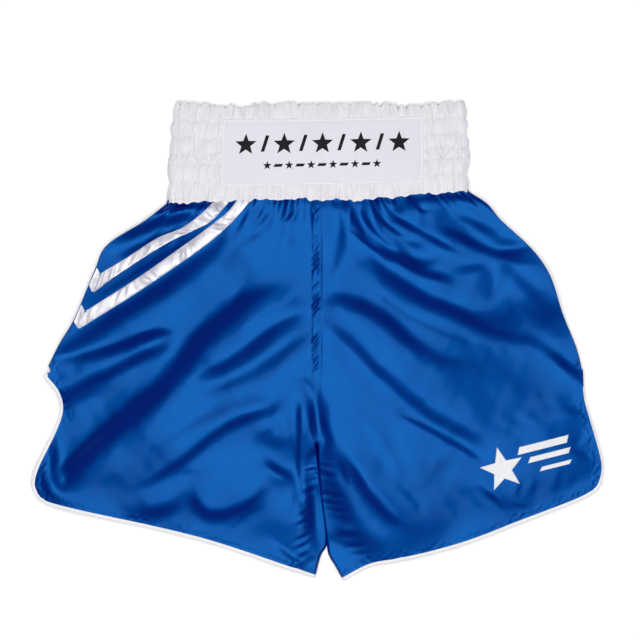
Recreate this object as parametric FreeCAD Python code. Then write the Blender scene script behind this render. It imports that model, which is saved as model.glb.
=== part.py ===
"""Boxing shorts, laid flat on a table with the front face up.

+Z points up out of the table, +Y towards the waist and +X towards the wearer's left leg. The origin is
under the middle of the garment, on the table. Right and left are the wearer's own, so the right leg is at -X.

Every cloth piece is a plain closed solid that holds the place of the real, thinner cloth: the back panels lie
just above the table, the front panels lie above them, and the seams stand on edge between the two, so that
the garment stays open at the waist, at both legs and at both side vents. All sizes are in millimetres.
"""

import FreeCAD
import Part
import math
import os

V = FreeCAD.Vector

# Waistband: a folded satin casing round four elastic loops, with a narrow empty channel in the middle.
# The four points are the middles of the band's rounded ends.
BAND_BOTTOM = ((-156.5, 153.35), (158.5, 165.65))
BAND_TOP = ((-148.0, 262.0), (155.5, 263.5))
BAND_THICKNESS = 18.0
CASING_WALL = 1.0
POCKET = 2.0
BAND_WALL = 2 * CASING_WALL + POCKET
ELASTIC_CLEARANCE = 0.2
# Shares of the band's width, from the waist seam up, where rows of stitching part the channels.
STITCH_ROWS = (0.20, 0.37, 0.49, 0.65, 0.83)
ELASTIC_CHANNELS = ((0.65, 0.83), (0.49, 0.65), (0.20, 0.37), (0.08, 0.20))
CHANNEL_MARGIN = 0.008
TOP_FOLD = 0.015
THREAD_WIDTH = 0.6
THREAD_DEPTH = 0.4

# Leg panels.
CLOTH = 1.2
BACK_LEVEL = CASING_WALL
FRONT_LEVEL = BAND_THICKNESS - CASING_WALL - POCKET
WAIST_LINE = ((-165.5, 153.0), (167.5, 166.0))
TONGUE = 6.0
TONGUE_END_GAP = 16.0
SEAM_WALL = 1.5
RIGHT_SIDE = ((-165.5, 153.0), (-189, 134), (-231, 107), (-245, 79), (-266, 28), (-295.5, -25))
RIGHT_HEM = ((-298.5, -38), (-286, -55), (-282.5, -75), (-291, -101), (-308, -137), (-313, -156),
             (-304, -173), (-283, -181.5), (-184, -204), (-129, -217), (-74, -234.5), (-1.7, -259))
RIGHT_INNER = ((-1.7, -259), (2.4, -241), (8, -221), (2.2, -174), (-1.2, -130), (0, -112))
LEFT_SIDE = ((167.5, 166.0), (188, 152), (203, 134), (236, 103), (256, 73.5), (270, 33), (285.5, -4.5), (292.5, -30))
LEFT_HEM = ((293, -38), (295, -62), (300, -82), (311, -121), (314, -141), (311, -157), (301, -167.5),
            (284, -175.5), (223, -199), (179, -216), (135, -230), (91, -240), (60, -246), (28, -262))
LEFT_INNER = ((28, -262), (20.4, -248.5), (10.5, -221), (3.9, -174), (0.6, -130), (0, -112))

# White binding folded over the hem and the vent edges.
BINDING_WIDTH = 3.5
BINDING_PROUD = 1.0
BINDING_WALL = 1.0

# Stitching that lies on the panels.
STITCHING = 0.4
HEM_STITCH_INSET = 6.5
RISE_WIDTH = 10.0
RISE_ROW_INSET = 1.0
RISE_END = -112.0
RIGHT_INSEAM_LINE = ((-3, -134), (-11, -170), (-14, -205), (-16, -248))
LEFT_INSEAM_LINE = ((5, -134), (17, -174), (31, -207), (53, -243))
INSEAM_WIDTH = 2.4
BARTACK = (8.0, 2.0)
BARTACK_INSET = 6.0

# Two white stripes that run from the waist to a point at the right side seam, front and back.
STRIPE_WIDTH = 12.0
STRIPE_THICKNESS = 0.5
UPPER_STRIPE = ((-106, 149), (-117, 139), (-130, 129), (-148, 119), (-174, 107), (-213, 84), (-239, 68))
LOWER_STRIPE = ((-85, 149), (-92, 138), (-106, 126), (-139, 104), (-171, 82.5), (-203, 62), (-254, 29))
STRIPE_SIDE_SLOPE = math.radians(67)

# Label patch on the front of the band.
PATCH_CENTRE = (5.5, 208.6)
PATCH_SIZE = (221.5, 72.0)
PATCH_TILT = 1.1
PATCH_CLOTH = 0.5
PATCH_BORDER = 3.0
PATCH_BORDER_THICKNESS = 0.6
PATCH_STITCH_INSET = 1.3
MOTIF_THICKNESS = 0.4
STAR_PITCH = 42.0
STAR_ROW = 8.5
SMALL_PITCH = 12.0
SMALL_ROW = -14.5

# Size label inside the back of the band.
LABEL_SIZE = (44.0, 30.0)
LABEL_THICKNESS = 0.4
LABEL_TOP_GAP = 24.0

# Embroidered emblem low on the left leg.
EMBLEM_CENTRE = (228.0, -132.0)
EMBLEM_TILT = 14.0
EMBLEM_THICKNESS = 0.6

SAMPLES_ON_CURVE = 40


def spline(points):
    """A smooth curve through a few points, or a straight line through two."""
    vectors = [V(x, y, 0) for x, y in points]
    if len(vectors) == 2:
        return Part.LineSegment(*vectors)
    curve = Part.BSplineCurve()
    curve.interpolate(vectors)
    return curve


def face_of(*chains):
    """A flat face inside a closed ring of point chains, each chain starting where the last one ended."""
    return Part.Face(Part.Wire([spline(chain).toShape() for chain in chains]))


def prism(face, bottom, height):
    solid = face.copy()
    solid.translate(V(0, 0, bottom))
    return solid.extrude(V(0, 0, height))


def beside(points, distance, count=SAMPLES_ON_CURVE):
    """Points along the curve through points, moved to its left by distance."""
    curve = spline(points)
    moved = []
    for i in range(count):
        at = curve.FirstParameter + (curve.LastParameter - curve.FirstParameter) * i / (count - 1)
        place, along = curve.value(at), curve.tangent(at)[0]
        moved.append((place.x - along.y * distance, place.y + along.x * distance))
    return moved


def ribbon(points, right, left, bottom, height):
    """A strip along a curve, from right of it to left of it, as a flat solid."""
    low, high = beside(points, -right), beside(points, left)
    return prism(face_of(low, (low[-1], high[-1]), high[::-1], (high[0], low[0])), bottom, height)


def cut(solid, *tools):
    for tool in tools:
        solid = solid.cut(tool)
    return solid


def between(a, b, share):
    return tuple(p + (q - p) * share for p, q in zip(a, b))


# The waistband


def band_line(share):
    """The band's left and right ends at a share of its width, from the waist seam to the top."""
    return tuple(between(low, high, share) for low, high in zip(BAND_BOTTOM, BAND_TOP))


def band_block(low, high, inset):
    """The band as a flattened loop, filled solid, between two shares of its width, inset from its surface."""
    corners = [*band_line(low), *band_line(high)[::-1]]
    slab = Part.Face(Part.makePolygon([V(x, y, 0) for x, y in [*corners, corners[0]]]))
    block = prism(slab, inset, BAND_THICKNESS - 2 * inset)
    radius = BAND_THICKNESS / 2 - inset
    for start, end in zip(band_line(-0.3), band_line(1.3)):
        along = V(end[0] - start[0], end[1] - start[1], 0)
        block = block.fuse(Part.makeCylinder(radius, along.Length, V(*start, BAND_THICKNESS / 2), along))
    wide = [between(*band_line(share), end) for share, end in ((low, -0.2), (low, 1.2), (high, 1.2), (high, -0.2))]
    strip = Part.Face(Part.makePolygon([V(x, y, 0) for x, y in [*wide, wide[0]]]))
    return block.common(prism(strip, -1, BAND_THICKNESS + 2)).removeSplitter()


def band_loop(low, high, outer, inner):
    return band_block(low, high, outer).cut(band_block(low - 0.05, high + 0.05, inner))


def band_stitching():
    """Rows of thread round the band, set flush into the casing."""
    width = THREAD_WIDTH / 100
    rows = [band_loop(row - width / 2, row + width / 2, 0, THREAD_DEPTH) for row in STITCH_ROWS]
    return Part.makeCompound(rows)


def waist_seam_stitching():
    """The row of thread that holds the leg panels in the band."""
    return band_loop(0.025, 0.025 + THREAD_WIDTH / 100, 0, THREAD_DEPTH)


def casing():
    """One satin strip folded over at the top: an outer wall, a fold and an inner wall."""
    outer = band_loop(0, 1, 0, CASING_WALL)
    fold = band_loop(1 - TOP_FOLD, 1, CASING_WALL, CASING_WALL + POCKET)
    inner = band_loop(0, 1, CASING_WALL + POCKET, BAND_WALL)
    whole = outer.fuse(fold).fuse(inner)
    return cut(whole, *band_stitching().Solids, waist_seam_stitching())


def elastic_loops():
    loops = {}
    for number, (low, high) in enumerate(ELASTIC_CHANNELS, start=1):
        loops[f"elastic_loop_{number}"] = band_loop(
            low + CHANNEL_MARGIN, high - CHANNEL_MARGIN,
            CASING_WALL + ELASTIC_CLEARANCE, CASING_WALL + POCKET - ELASTIC_CLEARANCE)
    return loops


def size_label():
    """A folded label that hangs from the lining at the middle of the back."""
    width, height = LABEL_SIZE
    middle = between(*band_line(1), 0.5)
    return Part.makeBox(width, height, LABEL_THICKNESS,
                        V(middle[0] - width / 2, middle[1] - LABEL_TOP_GAP - height, BAND_WALL))


# The leg panels, seams and bindings


def panel_face(side, hem, inner):
    """One leg panel, from the waist seam to the hem and from the side to the middle of the body."""
    middle = between(*WAIST_LINE, -WAIST_LINE[0][0] / (WAIST_LINE[1][0] - WAIST_LINE[0][0]))
    return face_of(side, (side[-1], hem[0]), hem, inner, (inner[-1], (0, middle[1])), ((0, middle[1]), side[0]))


def tongue(side):
    """The panel's top edge, which is held inside the band."""
    whole = WAIST_LINE[1][0] - WAIST_LINE[0][0]
    start = TONGUE_END_GAP / whole
    middle = -WAIST_LINE[0][0] / whole
    ends = (start, middle) if side < 0 else (middle, 1 - start)
    low = [between(*WAIST_LINE, end) for end in ends]
    ring = [*low, *[(x, y + TONGUE) for x, y in reversed(low)]]
    return Part.Face(Part.makePolygon([V(x, y, 0) for x, y in [*ring, ring[0]]]))


def panel(side, chains, level):
    body = prism(panel_face(*chains), level, CLOTH)
    return body.fuse(prism(tongue(side), level, CLOTH)).removeSplitter()


def binding(hem, inwards, level, cloth):
    """The binding strip round one panel's hem and vent edge, folded over the cloth."""
    right, left = (BINDING_PROUD, BINDING_WIDTH) if inwards > 0 else (BINDING_WIDTH, BINDING_PROUD)
    strip = ribbon(hem, right, left, level - BINDING_WALL, CLOTH + 2 * BINDING_WALL)
    return strip.cut(cloth)


def seam_wall(line, inwards):
    """A seam that stands on edge between the back panel and the front panel."""
    right, left = (0, SEAM_WALL) if inwards > 0 else (SEAM_WALL, 0)
    bottom = BACK_LEVEL + CLOTH
    return ribbon(line, right, left, bottom, FRONT_LEVEL - bottom)


def hem_stitching(hem, inwards):
    """One row of thread along the hem on the front panel, and one on the back panel."""
    inner = beside(hem, inwards * HEM_STITCH_INSET)
    row = inner[3:-3]
    rows = []
    for bottom in (FRONT_LEVEL + CLOTH, BACK_LEVEL - STITCHING):
        rows.append(ribbon(row, THREAD_WIDTH / 2, THREAD_WIDTH / 2, bottom, STITCHING))
    return Part.makeCompound(rows)


def rise_stitching(level):
    """Two rows of thread down the middle of the body."""
    top = between(*WAIST_LINE, 0.5)[1] - 1
    rows = []
    for middle in (-RISE_WIDTH / 2 + RISE_ROW_INSET, RISE_WIDTH / 2 - RISE_ROW_INSET):
        rows.append(Part.makeBox(THREAD_WIDTH, top - RISE_END, STITCHING,
                                 V(middle - THREAD_WIDTH / 2, RISE_END, level)))
    return Part.makeCompound(rows)


def vent_bartack(side_line, inwards):
    """Short dense bars of thread across the top of the vent, on the front panel and on the back panel."""
    length, width = BARTACK
    (x, y), (before_x, before_y) = side_line[-1], side_line[-2]
    tilt = math.degrees(math.atan2(y - before_y, x - before_x))
    centre = (x + inwards * BARTACK_INSET, y + BARTACK_INSET)
    bars = []
    for level in (FRONT_LEVEL + CLOTH, BACK_LEVEL - STITCHING):
        bars.append(placed(centred_box(width, length, STITCHING), centre, tilt, level))
    return Part.makeCompound(bars)


def inseam_stitching(line):
    """Two rows of thread down the inside leg, which lies towards the front."""
    rows = []
    for offset in (-INSEAM_WIDTH / 2, INSEAM_WIDTH / 2):
        rows.append(ribbon(beside(line, offset), THREAD_WIDTH / 2, THREAD_WIDTH / 2, FRONT_LEVEL + CLOTH, STITCHING))
    return Part.makeCompound(rows)


# Trim


def stripe(line, bottom):
    """A ribbon from the waist to the side, where its end turns up along the side seam to make half of a V."""
    half = STRIPE_WIDTH / 2
    body = ribbon(line, half, half, bottom, STRIPE_THICKNESS)
    end, before = V(*line[-1], 0), V(*line[-2], 0)
    along = (end - before).normalize()
    inner = end + V(along.y, -along.x, 0) * half
    outer = end - V(along.y, -along.x, 0) * half
    up = V(math.cos(STRIPE_SIDE_SLOPE), math.sin(STRIPE_SIDE_SLOPE), 0)
    inner, outer = (inner, outer) if inner.y > outer.y else (outer, inner)
    tip = outer + along * half * 1.6
    ring = [inner, outer, tip, tip + up * STRIPE_WIDTH * 0.8, inner]
    point = Part.Face(Part.makePolygon(ring))
    return body.fuse(prism(point, bottom, STRIPE_THICKNESS)).removeSplitter()


def placed(solid, centre, tilt, level):
    """A solid made round the origin, turned about Z and moved to its place."""
    solid = solid.copy()
    solid.rotate(V(0, 0, 0), V(0, 0, 1), tilt)
    solid.translate(V(*centre, level))
    return solid


def centred_box(width, height, thickness):
    return Part.makeBox(width, height, thickness, V(-width / 2, -height / 2, 0))


def star(radius, centre, thickness):
    """A five-pointed star."""
    points = []
    for i in range(10):
        reach = radius if i % 2 == 0 else radius * 0.42
        angle = math.radians(90 + 36 * i)
        points.append(V(centre[0] + reach * math.cos(angle), centre[1] + reach * math.sin(angle), 0))
    return Part.Face(Part.makePolygon([*points, points[0]])).extrude(V(0, 0, thickness))


def slanted_bar(width, height, centre, thickness, slant):
    """A bar whose ends lean by slant."""
    x, y = centre
    ring = [V(x - width / 2 - slant, y - height / 2, 0), V(x + width / 2 - slant, y - height / 2, 0),
            V(x + width / 2 + slant, y + height / 2, 0), V(x - width / 2 + slant, y + height / 2, 0)]
    return Part.Face(Part.makePolygon([*ring, ring[0]])).extrude(V(0, 0, thickness))


def rectangle_ring(inset, band, thickness):
    """A flat frame of the given band, inset from the patch's edges."""
    width, height = (size - 2 * inset for size in PATCH_SIZE)
    outer = centred_box(width, height, thickness)
    return outer.cut(centred_box(width - 2 * band, height - 2 * band, thickness))


def patch():
    cloth = placed(centred_box(*PATCH_SIZE, PATCH_CLOTH), PATCH_CENTRE, PATCH_TILT, BAND_THICKNESS)
    top = BAND_THICKNESS + PATCH_CLOTH
    frame = rectangle_ring(0, PATCH_BORDER, PATCH_BORDER_THICKNESS)
    border = placed(frame, PATCH_CENTRE, PATCH_TILT, top)
    ring = rectangle_ring(PATCH_STITCH_INSET, THREAD_WIDTH, STITCHING)
    stitches = placed(ring, PATCH_CENTRE, PATCH_TILT, top + PATCH_BORDER_THICKNESS)
    return {"label_patch": cloth, "label_border": border, "label_stitching": stitches}


def patch_motif():
    """A row of stars between slanted bars, over a row of small stars and bars."""
    pieces = []
    for i in range(5):
        pieces.append(star(14.0, ((i - 2) * STAR_PITCH, STAR_ROW), MOTIF_THICKNESS))
    for i in range(4):
        pieces.append(slanted_bar(4.4, 20.0, ((i - 1.5) * STAR_PITCH, STAR_ROW + 1), MOTIF_THICKNESS, 3.0))
    for i in range(-5, 6):
        if i % 2 == 0:
            pieces.append(slanted_bar(10.0, 3.6, (i * SMALL_PITCH, SMALL_ROW), MOTIF_THICKNESS, 1.0))
        else:
            pieces.append(star(5.6, (i * SMALL_PITCH, SMALL_ROW), MOTIF_THICKNESS))
    level = BAND_THICKNESS + PATCH_CLOTH
    return Part.makeCompound([placed(p, PATCH_CENTRE, PATCH_TILT, level) for p in pieces])


def leg_emblem():
    """A big star with three speed bars that taper away from it."""
    pieces = [star(25.0, (-26.0, -2.0), EMBLEM_THICKNESS)]
    for i, (width, height) in enumerate(((56.0, 8.0), (46.0, 6.0), (34.0, 4.4))):
        pieces.append(slanted_bar(width, height, (24.0 + 4.0 * i, 13.0 - 12.5 * i), EMBLEM_THICKNESS, 2.0))
    level = FRONT_LEVEL + CLOTH
    return Part.makeCompound([placed(p, EMBLEM_CENTRE, EMBLEM_TILT, level) for p in pieces])


def waistband():
    nodes = {
        "waistband_casing": casing(),
        "channel_stitching": band_stitching(),
        "waist_seam_stitching": waist_seam_stitching(),
        "size_label": size_label(),
    }
    nodes.update(elastic_loops())
    nodes.update(patch())
    nodes["label_motif"] = patch_motif()
    return nodes


def leg(name, side, chains, inseam_line):
    """One leg's panels, bindings, seams and stitching. Inwards is to the left of the right leg's lines."""
    side_line, hem, inner = chains
    inwards = -side
    front = panel(side, chains, FRONT_LEVEL)
    back = panel(side, chains, BACK_LEVEL)
    front_binding = binding(hem, inwards, FRONT_LEVEL, front)
    back_binding = binding(hem, inwards, BACK_LEVEL, back)
    return {
        f"{name}_front_panel": front,
        f"{name}_back_panel": back,
        f"{name}_front_binding": front_binding,
        f"{name}_back_binding": back_binding,
        f"{name}_side_seam": cut(seam_wall(side_line, inwards), front_binding, back_binding),
        f"{name}_inseam": cut(seam_wall(inner, inwards), front_binding, back_binding),
        f"{name}_inseam_stitching": inseam_stitching(inseam_line),
        f"{name}_hem_stitching": hem_stitching(hem, inwards),
        f"{name}_vent_bartack": vent_bartack(side_line, inwards),
    }


def stripes():
    nodes = {}
    for name, line in (("upper_stripe", UPPER_STRIPE), ("lower_stripe", LOWER_STRIPE)):
        nodes[f"{name}_front"] = stripe(line, FRONT_LEVEL + CLOTH)
        nodes[f"{name}_back"] = stripe(line, BACK_LEVEL - STRIPE_THICKNESS)
    return nodes


def all_nodes():
    nodes = waistband()
    nodes.update(leg("right", -1, (RIGHT_SIDE, RIGHT_HEM, RIGHT_INNER), RIGHT_INSEAM_LINE))
    nodes.update(leg("left", 1, (LEFT_SIDE, LEFT_HEM, LEFT_INNER), LEFT_INSEAM_LINE))
    nodes.update(stripes())
    nodes["front_rise_stitching"] = rise_stitching(FRONT_LEVEL + CLOTH)
    nodes["back_rise_stitching"] = rise_stitching(BACK_LEVEL - STITCHING)
    nodes["leg_emblem"] = leg_emblem()
    return nodes


def centred(nodes):
    """Every node moved by one step, so that the origin is under the middle of the whole."""
    box = FreeCAD.BoundBox()
    for shape in nodes.values():
        box.add(shape.BoundBox)
    step = V(-box.Center.x, -box.Center.y, -box.ZMin)
    for shape in nodes.values():
        shape.translate(step)
    return nodes


os.makedirs("parts", exist_ok=True)
for node, shape in centred(all_nodes()).items():
    shape.exportStep(os.path.join("parts", node + ".step"))
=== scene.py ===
"""Boxing shorts laid flat on a white floor, seen from straight above.

Sizes in the tables below are in millimetres, in the CAD's frame: +X to the wearer's left leg, +Y to the waist,
+Z up from the floor. Every cloth piece is a surface whose height is worked out from one list of folds, so that
panels, stripes, bindings, stitches and the emblem all lie on the same folds.
"""

import math

import bpy
import numpy as np
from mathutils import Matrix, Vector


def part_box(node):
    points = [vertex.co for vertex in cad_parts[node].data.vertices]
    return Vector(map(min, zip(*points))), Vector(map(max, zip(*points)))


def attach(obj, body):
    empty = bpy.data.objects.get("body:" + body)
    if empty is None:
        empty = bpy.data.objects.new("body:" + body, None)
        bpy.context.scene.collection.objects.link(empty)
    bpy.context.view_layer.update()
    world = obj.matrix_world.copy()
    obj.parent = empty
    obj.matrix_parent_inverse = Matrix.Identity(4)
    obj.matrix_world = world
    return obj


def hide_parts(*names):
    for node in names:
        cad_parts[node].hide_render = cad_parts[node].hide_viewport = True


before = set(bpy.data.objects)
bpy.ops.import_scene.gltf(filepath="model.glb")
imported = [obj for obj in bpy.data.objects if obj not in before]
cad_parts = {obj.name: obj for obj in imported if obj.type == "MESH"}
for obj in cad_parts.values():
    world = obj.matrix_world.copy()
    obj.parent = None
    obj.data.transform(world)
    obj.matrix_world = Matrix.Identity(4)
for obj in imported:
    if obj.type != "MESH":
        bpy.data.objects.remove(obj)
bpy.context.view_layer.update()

MM = 0.001

# ---- outlines

# The middles of the band's rounded ends, and the line where the legs are sewn into it.
BAND_BOTTOM = ((-157.0, 152.85), (158.0, 165.15))
BAND_TOP = ((-148.5, 261.5), (155.0, 263.0))
WAIST_ENDS = ((-166.0, 152.5), (167.0, 165.5))
CROTCH = (-0.5, -112.5)
RIGHT_SIDE = ((-166, 152.5), (-189.5, 133.5), (-231.5, 106.5), (-245.5, 78.5), (-266.5, 27.5), (-284, -2),
              (-296, -25.5))
RIGHT_VENT = ((-296, -25.5), (-293, -33), (-299, -38.5), (-286.5, -55.5), (-283, -75.5), (-291.5, -101.5),
              (-308.5, -137.5), (-313, -156), (-309.5, -168))
RIGHT_HEM = ((-309.5, -168), (-303, -174.5), (-283.5, -182), (-184.5, -204.5), (-129.5, -217.5), (-74.5, -235),
             (-2, -259.5))
RIGHT_INNER = ((-0.5, -112.5), (1.6, -130.5), (6.4, -174.5), (11.4, -219.5), (4, -237), (-2, -259.5))
LEFT_SIDE = ((167, 165.5), (187.5, 151.5), (202.5, 133.5), (235.5, 102.5), (255.5, 73), (269.5, 32.5),
             (285, -5), (292, -30.5))
LEFT_VENT = ((292, -30.5), (292.5, -38.5), (294.5, -62.5), (299.5, -82.5), (310.5, -121.5), (313.5, -141.5),
             (310, -158), (304, -165.5))
LEFT_HEM = ((304, -165.5), (283.5, -176), (222.5, -199.5), (178.5, -216.5), (134.5, -230.5), (90.5, -240.5),
            (59.5, -246.5), (27.5, -262.5))
LEFT_INNER = ((-0.5, -112.5), (0.1, -130.5), (3.4, -174.5), (10, -221.5), (12.6, -236), (19.5, -248), (27.5, -262.5))

# ---- folds

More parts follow.
